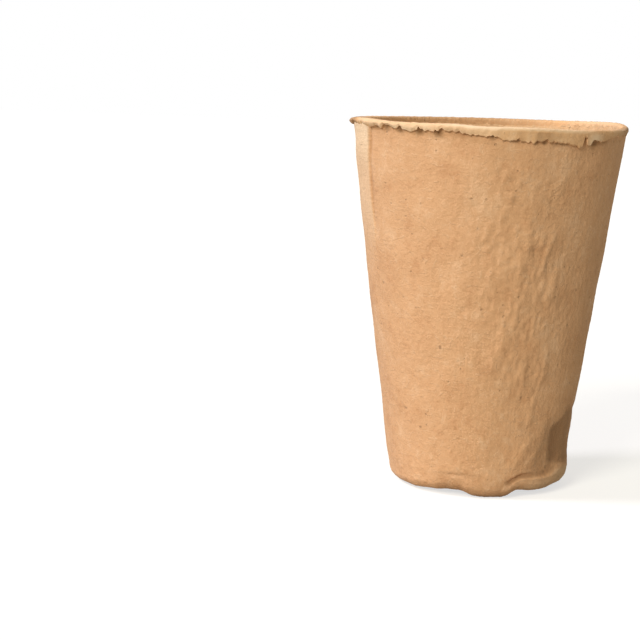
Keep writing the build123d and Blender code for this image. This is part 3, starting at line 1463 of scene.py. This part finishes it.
        bent = self.flare_start + self.flare_gain * (1.0 - border / depth)
        flare = edge + (over - edge) * np.clip(bent, 0.0, self.flare_most)
        controls = np.array([
            inside(self.inner_reach, -self.buried),
            inside(2.4, -0.02),
            inside(1.2, self.inner_proud + 0.03 * lumpy),
            inside(0.5, self.inner_proud * 0.6 + 0.035 * crumbs),
            inside(0.09 - 0.02 * crumbs, 0.03 * crumbs - 0.4),
            outside(0.02 - 0.03 * lumpy + 0.02 * crumbs, over - 0.85),
            outside(0.14 + 0.03 * swell, over - 0.38),
            outside(0.55 + 0.05 * lumpy, over - 0.06),
            outside(border * 0.65, over + 0.02 * lumpy),
            outside(border, flare),
            outside(depth - 0.18 * np.minimum(1.0, depth - border), edge),
            # From here the strip turns in under the torn edge to the wall; these rows carry the painted shade
            # of the gap.
            outside(depth, edge * 0.4),
            outside(depth + 0.08, 0.04),
            outside(depth + 0.2, -0.2),
            outside(depth + 0.25, -self.buried),
        ])
        line = smooth_rows(controls, self.rows_per_span)
        row = np.arange(len(line))[:, None] / self.rows_per_span
        ends = (-s.wall_run / 2.0, -self.buried)
        closing = np.stack([placed(turn, *outside(border, proud)) for proud in ends])
        points = placed(turn, line[:, 0], line[:, 1])
        last_row = self.border_control * self.rows_per_span
        return CuffStrip(points, self.painted_shading(turn, row, lumpy), closing, last_row)


def smooth_rows(controls: Array, per_span: int) -> Array:
    """Smooth line through rows of controls, worked out for every column at once.

    Args:
        controls: Controls by two by columns.
        per_span: Rows from one control to the next.

    Returns:
        Rows by two by columns: cubic spans whose slope at a control is half the step between
        its neighbours.
    """
    slopes = np.gradient(controls, axis=0)
    share = np.linspace(0.0, 1.0, per_span, endpoint=False)[:, None, None, None]
    start, end = controls[:-1], controls[1:]
    first, last = slopes[:-1], slopes[1:]
    rows = (
        (1.0 + 2.0 * share) * (1.0 - share) ** 2 * start
        + share * (1.0 - share) ** 2 * first
        + share**2 * (3.0 - 2.0 * share) * end
        - share**2 * (1.0 - share) * last
    )
    rows = np.moveaxis(rows, 0, 1).reshape(-1, *controls.shape[1:])
    return np.concatenate([rows, controls[-1:]])


class Nodes:
    """Short calls that add and join the nodes of one tree."""

    def __init__(self, tree: bpy.types.NodeTree) -> None:
        """Keeps the tree that the nodes go into."""
        self.tree = tree

    @classmethod
    def of(cls, owner: bpy.types.Material | bpy.types.World) -> "Nodes":
        """Starts the empty tree of a material or a world.

        Args:
            owner: The material or the world.

        Returns:
            The calls for its tree.
        """
        owner.use_nodes = True
        owner.node_tree.nodes.clear()
        return cls(owner.node_tree)

    def add(
        self, kind: str, inputs: Mapping[str | int, object] | None = None, **settings: object
    ) -> bpy.types.Node:
        """Adds a node.

        Args:
            kind: Blender's name for the node.
            inputs: Values or sockets for its inputs, by name or number.
            settings: The node's own settings.

        Returns:
            The node.
        """
        node = self.tree.nodes.new(kind)
        for name, value in settings.items():
            setattr(node, name, value)
        for name, value in (inputs or {}).items():
            if isinstance(value, bpy.types.NodeSocket):
                self.tree.links.new(value, node.inputs[name])
            else:
                node.inputs[name].default_value = value
        return node

    def maths(self, operation: str, first: object, second: object = 0.0) -> bpy.types.NodeSocket:
        """Adds a sum of two values and gives its result."""
        return self.add("ShaderNodeMath", {0: first, 1: second}, operation=operation).outputs[0]

    def vector(self, operation: str, first: object, second: object) -> bpy.types.NodeSocket:
        """Adds a sum of two vectors and gives its result."""
        return self.add("ShaderNodeVectorMath", {0: first, 1: second}, operation=operation).outputs[0]

    def weighed(self, *terms: tuple[object, float]) -> bpy.types.NodeSocket:
        """Adds up values that are each multiplied by a weight.

        Args:
            terms: Pairs of value and weight.

        Returns:
            The sum.
        """
        total, *rest = [self.maths("MULTIPLY", value, weight) for value, weight in terms]
        for product in rest:
            total = self.maths("ADD", total, product)
        return total

    def seen(self) -> bpy.types.NodeSocket:
        """Adds a test of the light path.

        Returns:
            1 on what the camera sees, also in a mirror or through glass, and 0 on what only lights.
        """
        path = self.add("ShaderNodeLightPath").outputs
        seen = self.maths("MAXIMUM", path["Is Camera Ray"], path["Is Glossy Ray"])
        return self.maths("MAXIMUM", seen, path["Is Transmission Ray"])

    def noise(self, place: object, scale: object, detail: float, rough: float = 0.5) -> bpy.types.NodeSocket:
        """Adds a noise and gives its value."""
        inputs = {"Vector": place, "Scale": scale, "Detail": detail, "Roughness": rough}
        return self.add("ShaderNodeTexNoise", inputs).outputs[0]

    def band(self, value: object, low: object, high: object) -> bpy.types.NodeSocket:
        """Adds a smooth step from 0 at low to 1 at high and gives its value."""
        inputs = {"Value": value, "From Min": low, "From Max": high}
        return self.add("ShaderNodeMapRange", inputs, interpolation_type="SMOOTHSTEP").outputs[0]

    def blend(self, share: object, first: object, second: object) -> bpy.types.NodeSocket:
        """Adds a mix of two colours and gives the result."""
        return self.add("ShaderNodeMix", {0: share, 6: first, 7: second}, data_type="RGBA").outputs[2]

    def effect(self, effect: "Effect", place: object, inputs: Mapping[str, object]) -> bpy.types.NodeSocket:
        """Adds a shared effect at a place, with its own values, and gives its output."""
        return self.add("ShaderNodeGroup", {"Place": place, **inputs}, node_tree=effect.tree()).outputs[0]


class Socket(Enum):
    """Kinds of socket that a shader group has."""

    PLACE = "NodeSocketVector"
    VALUE = "NodeSocketFloat"
    COLOUR = "NodeSocketColor"


class Effect(Enum):
    """Effects that several finishes share, each one a shader group that is built once."""

    TINT = "uneven_tint"
    RELIEF = "felt_relief"
    FIBRES = "stray_fibres"
    FLECKS = "dark_flecks"
    SCREEN = "screen_imprint"

    def tree(self) -> bpy.types.NodeTree:
        """Gives the group, and builds it on the first call.

        Returns:
            The group.
        """
        made = bpy.data.node_groups.get(self.value)
        if made:
            return made
        makers = {
            Effect.TINT: uneven_tint,
            Effect.RELIEF: felt_relief,
            Effect.FIBRES: stray_fibres,
            Effect.FLECKS: dark_flecks,
            Effect.SCREEN: screen_imprint,
        }
        return makers[self](self.value)


def group(
    name: str, values: Sequence[str], output: str, kind: Socket, colours: Sequence[str] = ()
) -> tuple[bpy.types.NodeTree, Nodes, bpy.types.NodeInputs]:
    """Starts a shader group with one output.

    Args:
        name: Name of the group.
        values: Its value inputs, after its place and its colours.
        output: Name of its output.
        kind: Kind of its output.
        colours: Its colour inputs.

    Returns:
        The group, its nodes and the sockets that bring the inputs in.
    """
    tree = bpy.data.node_groups.new(name, "ShaderNodeTree")
    inputs = {"Place": Socket.PLACE, **dict.fromkeys(colours, Socket.COLOUR)}
    inputs.update(dict.fromkeys(values, Socket.VALUE))
    for title, socket in inputs.items():
        tree.interface.new_socket(title, in_out="INPUT", socket_type=socket.value)
    tree.interface.new_socket(output, in_out="OUTPUT", socket_type=kind.value)
    nodes = Nodes(tree)
    return tree, nodes, nodes.add("NodeGroupInput").outputs


def uneven_tint(name: str) -> bpy.types.NodeTree:
    """Colour of felted pulp: three sizes of cloud move it from deep through base to pale.

    Args:
        name: Name of the group.

    Returns:
        The group.
    """
    tree, nodes, given = group(name, ("Patches",), "Colour", Socket.COLOUR, ("Deep", "Base", "Pale"))
    patches = nodes.noise(given["Place"], given["Patches"], 3.0)
    clumps = nodes.noise(given["Place"], 430.0, 4.0, 0.6)
    grain = nodes.noise(given["Place"], 1900.0, 3.0, 0.6)
    cloud = nodes.weighed((patches, 0.42), (clumps, 0.34), (grain, 0.24))
    low = nodes.blend(nodes.band(cloud, 0.36, 0.5), given["Deep"], given["Base"])
    colour = nodes.blend(nodes.band(cloud, 0.5, 0.64), low, given["Pale"])
    nodes.add("NodeGroupOutput", {"Colour": colour})
    return tree


def felt_relief(name: str) -> bpy.types.NodeTree:
    """Height of a felted face: fine matting and small clumps.

    Args:
        name: Name of the group.

    Returns:
        The group.
    """
    tree, nodes, given = group(name, ("Matting", "Clumps"), "Height", Socket.VALUE)
    matting = nodes.noise(given["Place"], given["Matting"], 5.0, 0.65)
    clumps = nodes.noise(given["Place"], given["Clumps"], 3.0, 0.5)
    nodes.add("NodeGroupOutput", {"Height": nodes.weighed((matting, 0.45), (clumps, 0.55))})
    return tree


def stray_fibres(name: str) -> bpy.types.NodeTree:
    """Mask of thin threads: level lines of a soft noise, broken up by a second noise.

    Args:
        name: Name of the group.

    Returns:
        The group.
    """
    tree, nodes, given = group(name, ("Curl", "Width", "Share"), "Mask", Socket.VALUE)
    level = nodes.noise(given["Place"], given["Curl"], 1.0)
    off = nodes.maths("ABSOLUTE", nodes.maths("SUBTRACT", level, 0.5))
    line = nodes.band(off, given["Width"], 0.0)
    shown = nodes.noise(given["Place"], nodes.maths("MULTIPLY", given["Curl"], 1.7), 0.0)
    start = nodes.maths("SUBTRACT", 0.8, nodes.maths("MULTIPLY", given["Share"], 0.5))
    broken = nodes.band(shown, start, nodes.maths("ADD", start, 0.06))
    nodes.add("NodeGroupOutput", {"Mask": nodes.maths("MULTIPLY", line, broken)})
    return tree


def dark_flecks(name: str) -> bpy.types.NodeTree:
    """Mask of specks: small uneven spots in a share of the cells of a cell pattern.

    Args:
        name: Name of the group.

    Returns:
        The group.
    """
    tree, nodes, given = group(name, ("Cells", "Share", "Size"), "Mask", Socket.VALUE)
    wobble = nodes.add("ShaderNodeTexNoise", {"Vector": given["Place"], "Scale": 1400.0, "Detail": 2.0})
    offset = nodes.vector("SUBTRACT", wobble.outputs[1], (0.5, 0.5, 0.5))
    moved = nodes.vector("ADD", given["Place"], nodes.vector("MULTIPLY", offset, (0.0007,) * 3))
    cells = nodes.add("ShaderNodeTexVoronoi", {"Vector": moved, "Scale": given["Cells"]})
    parts = nodes.add("ShaderNodeSeparateColor", {0: cells.outputs["Color"]}).outputs
    wide = nodes.maths("MULTIPLY", given["Size"], nodes.maths("ADD", parts[1], 0.35))
    spot = nodes.band(cells.outputs["Distance"], wide, nodes.maths("MULTIPLY", wide, 0.55))
    chosen = nodes.maths("LESS_THAN", parts[0], given["Share"])
    nodes.add("NodeGroupOutput", {"Mask": nodes.maths("MULTIPLY", spot, chosen)})
    return tree


def screen_imprint(name: str) -> bpy.types.NodeTree:
    """Height of a wire screen pressed into the face: crossed waves, shown only in patches.

    Args:
        name: Name of the group.

    Returns:
        The group.
    """
    tree, nodes, given = group(name, ("Wires", "Pitch"), "Height", Socket.VALUE)
    axes = nodes.add("ShaderNodeSeparateXYZ", {0: given["Place"]}).outputs
    turn = nodes.maths("ARCTAN2", axes[0], nodes.maths("MULTIPLY", axes[1], -1.0))
    upright = nodes.maths("SINE", nodes.maths("MULTIPLY", turn, given["Wires"]))
    level = nodes.maths("SINE", nodes.maths("DIVIDE", nodes.maths("MULTIPLY", axes[2], TURN), given["Pitch"]))
    grid = nodes.maths("MAXIMUM", upright, level)
    patch = nodes.band(nodes.noise(given["Place"], 42.0, 1.0), 0.5, 0.62)
    nodes.add("NodeGroupOutput", {"Height": nodes.maths("MULTIPLY", grid, patch)})
    return tree


@dataclass(frozen=True)
class PulpFinish:
    """A finish of felted pulp: its three colours and how rough, threaded and specked it is."""

    name: str
    deep: Colour
    base: Colour
    pale: Colour
    patches: float = 105.0
    matting: float = 2000.0
    clumps: float = 760.0
    relief: float = 0.85
    depth: float = 0.5
    thread_share: float = 0.55
    fleck_share: float = 0.2
    fleck: Colour = paint(112, 74, 42)
    thread: Colour = paint(246, 214, 172)
    # Brown of the painted shade.
    painted_shading: Colour = paint(125, 86, 48)
    screen: float = 0.0
    wires: float = 170.0
    wire_pitch: float = 1.2
    thread_width: float = 0.02
    thread_curl: float = 260.0
    stroke_curl: float = 170.0
    stroke_flatness: float = 3.4
    stroke_share: float = 0.7
    thread_tint: float = 0.14
    thread_rise: float = 0.13
    fleck_cells: float = 190.0
    fleck_size: float = 0.1
    fleck_tint: float = 0.5
    pit_cells: float = 520.0
    pit_size: float = 0.2
    pit_tint: float = 0.25
    pit_depth: float = 0.35
    least_rough: float = 0.88
    rough_spread: float = 0.1
    gloss: float = 0.25
    fuzz: float = 0.06

    def threads(self, nodes: Nodes, place: bpy.types.NodeSocket) -> bpy.types.NodeSocket:
        """Adds the threads.

        Args:
            nodes: Nodes of the material.
            place: Where the pattern is read.

        Returns:
            Mask of curled threads and of longer ones that lie level.
        """
        lying = nodes.vector("MULTIPLY", place, (1.0, 1.0, self.stroke_flatness))
        curls = {"Curl": self.thread_curl, "Width": self.thread_width, "Share": self.thread_share}
        strokes = {**curls, "Curl": self.stroke_curl, "Share": self.stroke_share * self.thread_share}
        return nodes.maths(
            "MAXIMUM", nodes.effect(Effect.FIBRES, place, curls), nodes.effect(Effect.FIBRES, lying, strokes)
        )

    def specks(
        self, nodes: Nodes, place: bpy.types.NodeSocket, cells: float, size: float
    ) -> bpy.types.NodeSocket:
        """Adds specks of one size.

        Args:
            nodes: Nodes of the material.
            place: Where the pattern is read.
            cells: Cells to a metre.
            size: Size of the specks, as a share of a cell.

        Returns:
            Mask of the specks.
        """
        return nodes.effect(Effect.FLECKS, place, {"Cells": cells, "Share": self.fleck_share, "Size": size})

    def material(self) -> bpy.types.Material:
        """Builds the finish.

        Returns:
            A rough, slightly fuzzy material whose colour and relief read Object coordinates, and
            whose colour also takes the painted shade and painted light laid on the mesh.
        """
        made = bpy.data.materials.new(self.name)
        nodes = Nodes.of(made)
        place = nodes.add("ShaderNodeTexCoord").outputs["Object"]
        tints = {"Deep": self.deep, "Base": self.base, "Pale": self.pale, "Patches": self.patches}
        tint = nodes.effect(Effect.TINT, place, tints)
        threads = self.threads(nodes, place)
        flecks = self.specks(nodes, place, self.fleck_cells, self.fleck_size)
        pits = self.specks(nodes, place, self.pit_cells, self.pit_size)
        # Painted shade and painted light on the vertices: above 0 mixes toward a brown, below 0 toward the
        # thread colour.
        painted_shading = nodes.add("ShaderNodeAttribute", attribute_name="painted_shading").outputs["Fac"]
        painted_light = nodes.maths("MULTIPLY", painted_shading, -1.0)
        colour = nodes.blend(nodes.maths("MULTIPLY", threads, self.thread_tint), tint, self.thread)
        colour = nodes.blend(nodes.maths("MULTIPLY", pits, self.pit_tint), colour, self.fleck)
        colour = nodes.blend(nodes.maths("MULTIPLY", flecks, self.fleck_tint), colour, self.fleck)
        colour = nodes.blend(nodes.maths("MAXIMUM", painted_shading, 0.0), colour, self.painted_shading)
        colour = nodes.blend(nodes.maths("MAXIMUM", painted_light, 0.0), colour, self.thread)
        relief = nodes.effect(Effect.RELIEF, place, {"Matting": self.matting, "Clumps": self.clumps})
        heights = [(relief, 1.0), (threads, self.thread_rise), (pits, -self.pit_depth)]
        if self.screen:
            wires = {"Wires": self.wires, "Pitch": self.wire_pitch * MM}
            heights.append((nodes.effect(Effect.SCREEN, place, wires), self.screen))
        bump = nodes.add("ShaderNodeBump", {
            "Strength": self.relief, "Distance": self.depth * MM, "Height": nodes.weighed(*heights),
        })
        rough = nodes.maths("ADD", nodes.maths("MULTIPLY", relief, self.rough_spread), self.least_rough)
        shader = nodes.add("ShaderNodeBsdfPrincipled", {
            "Base Color": colour,
            "Roughness": rough,
            "Normal": bump.outputs[0],
            "Specular IOR Level": self.gloss,
            "Sheen Weight": self.fuzz,
        })
        nodes.add("ShaderNodeOutputMaterial", {"Surface": shader.outputs[0]})
        return made


@dataclass(frozen=True)
class Lamp:
    """Far soft lamp: where it stands round the pot, how high, how bright and how wide."""

    name: str
    angle: float
    rise: float
    level: float
    softness: float
    tint: Colour

    def hang(self) -> None:
        """Hangs the lamp so that a white surface that faces it shows its level."""
        turn, rise = np.radians(self.angle), np.radians(self.rise)
        away = np.array([np.sin(turn) * np.cos(rise), -np.cos(turn) * np.cos(rise), np.sin(rise)])
        lamp = bpy.data.lights.new(self.name, "SUN")
        lamp.energy = self.level * np.pi
        lamp.color = self.tint[:3]
        lamp.angle = np.radians(self.softness)
        right = np.cross((0.0, 0.0, 1.0), away)
        right = right / np.linalg.norm(right)
        turned = np.stack([right, np.cross(away, right), away], axis=1)
        holder = linked(self.name, lamp)
        holder.matrix_world = Matrix.Translation(away.tolist()) @ Matrix(turned.tolist()).to_4x4()


@dataclass(frozen=True)
class Studio:
    """Floor, lamps, background and camera. Places in the room are metres, and its angles radians."""

    camera_place: tuple[float, float, float] = (0.0, -0.4945, 0.1149)
    yaw: float = 0.0907
    pitch: float = 0.1436
    roll: float = 0.0330
    lens: float = 100.07
    sensor: float = 36.0
    key: Lamp = Lamp("key_lamp", -76.0, 44.0, 0.5, 14.0, (1.0, 1.01, 1.28, 1.0))
    fill: Lamp = Lamp("fill_lamp", -24.0, 30.0, 0.66, 20.0, WHITE)
    sky_level: float = 0.28
    sky_tint: Colour = (1.0, 0.98, 0.84, 1.0)
    floor_half: float = 3.0
    floor_colour: Colour = paint(182, 178, 166)
    floor_glow: float = 0.66

    def build(self) -> None:
        """Builds everything round the pot."""
        bpy.context.scene.view_settings.view_transform = "Standard"
        self.floor()
        self.key.hang()
        self.fill.hang()
        self.sky()
        self.camera()

    def floor(self) -> None:
        """Pale floor that keeps the pot's shadow and is otherwise white to the camera."""
        half = self.floor_half
        mesh = bpy.data.meshes.new("studio_floor")
        corners = np.array([(-half, -half, 0.0), (half, -half, 0.0), (half, half, 0.0), (-half, half, 0.0)])
        mesh.from_pydata(corners, [], [(0, 1, 2, 3)])
        made = bpy.data.materials.new("studio_floor")
        nodes = Nodes.of(made)
        strength = nodes.maths("MULTIPLY", nodes.seen(), self.floor_glow)
        glow = nodes.add("ShaderNodeEmission", {"Strength": strength})
        matt = nodes.add("ShaderNodeBsdfDiffuse", {"Color": self.floor_colour})
        both = nodes.add("ShaderNodeAddShader", {0: matt.outputs[0], 1: glow.outputs[0]})
        nodes.add("ShaderNodeOutputMaterial", {"Surface": both.outputs[0]})
        mesh.materials.append(made)
        floor = linked("studio_floor", mesh)

    def sky(self) -> None:
        """Even grey light from all round, behind a white background."""
        world = bpy.data.worlds.new("studio_sky")
        bpy.context.scene.world = world
        nodes = Nodes.of(world)
        seen = nodes.seen()
        level = nodes.maths("ADD", nodes.maths("MULTIPLY", seen, 1.0 - self.sky_level), self.sky_level)
        colour = nodes.blend(seen, self.sky_tint, WHITE)
        light = nodes.add("ShaderNodeBackground", {"Color": colour, "Strength": level})
        nodes.add("ShaderNodeOutputWorld", {"Surface": light.outputs[0]})

    def camera(self) -> None:
        """Camera at the photograph's place: yaw, pitch down and roll about its own axis."""
        lens = bpy.data.cameras.new("main_camera")
        lens.lens = self.lens
        lens.sensor_width = self.sensor
        ahead = np.array([
            -np.sin(self.yaw) * np.cos(self.pitch),
            np.cos(self.yaw) * np.cos(self.pitch),
            -np.sin(self.pitch),
        ])
        right = np.array([np.cos(self.yaw), np.sin(self.yaw), 0.0])
        up = np.cross(right, ahead)
        tilted_right = np.cos(self.roll) * right + np.sin(self.roll) * up
        tilted_up = np.cos(self.roll) * up - np.sin(self.roll) * right
        holder = linked("main_camera", lens)
        turned = Matrix(np.stack([tilted_right, tilted_up, -ahead], axis=1).tolist()).to_4x4()
        holder.matrix_world = Matrix.Translation(self.camera_place) @ turned
        bpy.context.scene.camera = holder


def main() -> None:
    """Builds the pot and the room round it."""
    logging.basicConfig(level=logging.INFO, format="%(name)s %(message)s")
    outside = PulpFinish(
        "outer_felt", paint(209, 156, 108), paint(221, 170, 121), paint(230, 183, 136), screen=0.035,
    )
    inside = PulpFinish(
        "inner_felt", paint(204, 160, 114), paint(222, 180, 131), paint(235, 198, 151),
        matting=1500.0, clumps=520.0, relief=0.9, depth=0.7, thread_share=0.8,
    )
    pressed = PulpFinish(
        "lip_felt", paint(219, 167, 114), paint(232, 183, 130), paint(240, 197, 148), relief=0.6,
    )
    form = PotForm(PotSizes.from_frame())
    Moulding(form).build(outside.material(), inside.material())
    RimCuff(form).build(pressed.material())
    Studio().build()


if __name__ == "__main__":
    main()
